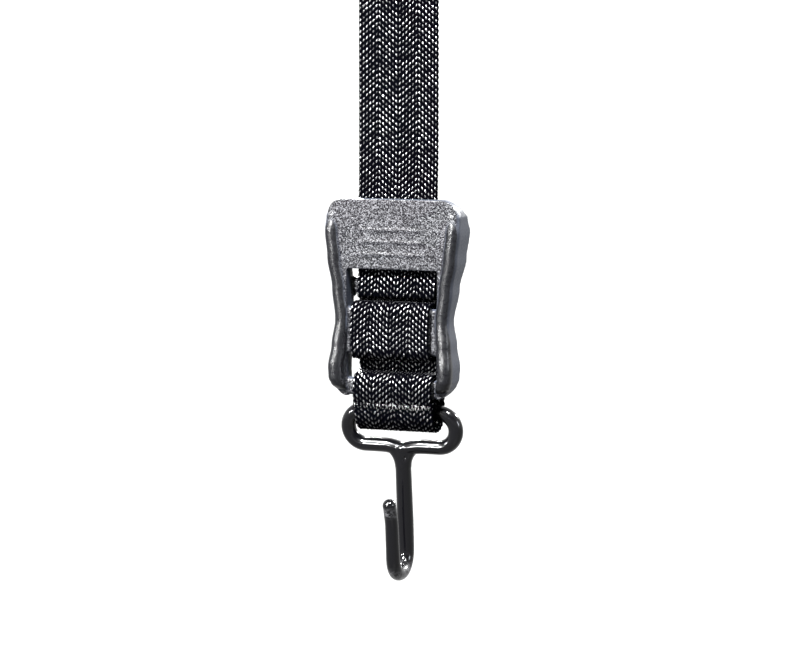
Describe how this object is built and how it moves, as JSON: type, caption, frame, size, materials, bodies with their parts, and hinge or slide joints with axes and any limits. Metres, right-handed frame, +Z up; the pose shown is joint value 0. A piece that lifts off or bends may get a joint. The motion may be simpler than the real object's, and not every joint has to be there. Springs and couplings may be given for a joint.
{
  "type": "saxophone neck strap",
  "caption": "Plain webbing neck strap for a saxophone: a loop of black herringbone webbing with a moulded height-adjusting slider and a vinyl-coated wire hook",
  "frame": {"origin": "the inside of the neck loop's top bend, where the neck holds the strap", "axes": "+Z up along the hanging strap, -Y the front, X across the webbing"},
  "size_m": [0.0326, 0.026, 0.6105],
  "materials": {
    "webbing": "herringbone weave",
    "slider": "fine moulded grain",
    "hook_coating": "gloss",
    "hook_wire": "drawn",
    "thread": "twisted"
  },
  "bodies": {
    "neck_loop": {"webbing_neck_bend": "webbing", "webbing_neck_front": "webbing", "webbing_neck_rear": "webbing"},
    "hook_carrier": {"webbing_first_end": "webbing", "webbing_hook_fold": "webbing", "webbing_lifting_strand": "webbing", "webbing_front_strand": "webbing", "bar_tack_hook": "thread"},
    "slider": {"slider_body": "slider", "webbing_upper_wrap": "webbing", "webbing_second_end": "webbing", "bar_tack_slider": "thread"},
    "hook": {"hook_wire": "hook_wire", "hook_coating": "hook_coating"}
  },
  "joints": [
    {"name": "hook_rise", "type": "slide", "parent": "neck_loop", "child": "hook_carrier", "axis": [0, 0, 1], "range_m": [0, 0.1], "deforming": ["webbing_neck_rear"]},
    {"name": "slider_slide", "type": "slide", "parent": "hook_carrier", "child": "slider", "axis": [0, 0, 1], "range_m": [0, 0.2], "deforming": ["webbing_neck_front", "webbing_lifting_strand", "webbing_front_strand"]},
    {"name": "hook_swing", "type": "hinge", "parent": "hook_carrier", "child": "hook", "pos_m": [0.0007, -0.00105, -0.57], "axis": [1, 0, 0], "range_deg": [-80, 80]}
  ],
  "couplings": [
    {"joint": "hook_rise", "follows": "slider_slide", "ratio": 0.5}
  ]
}
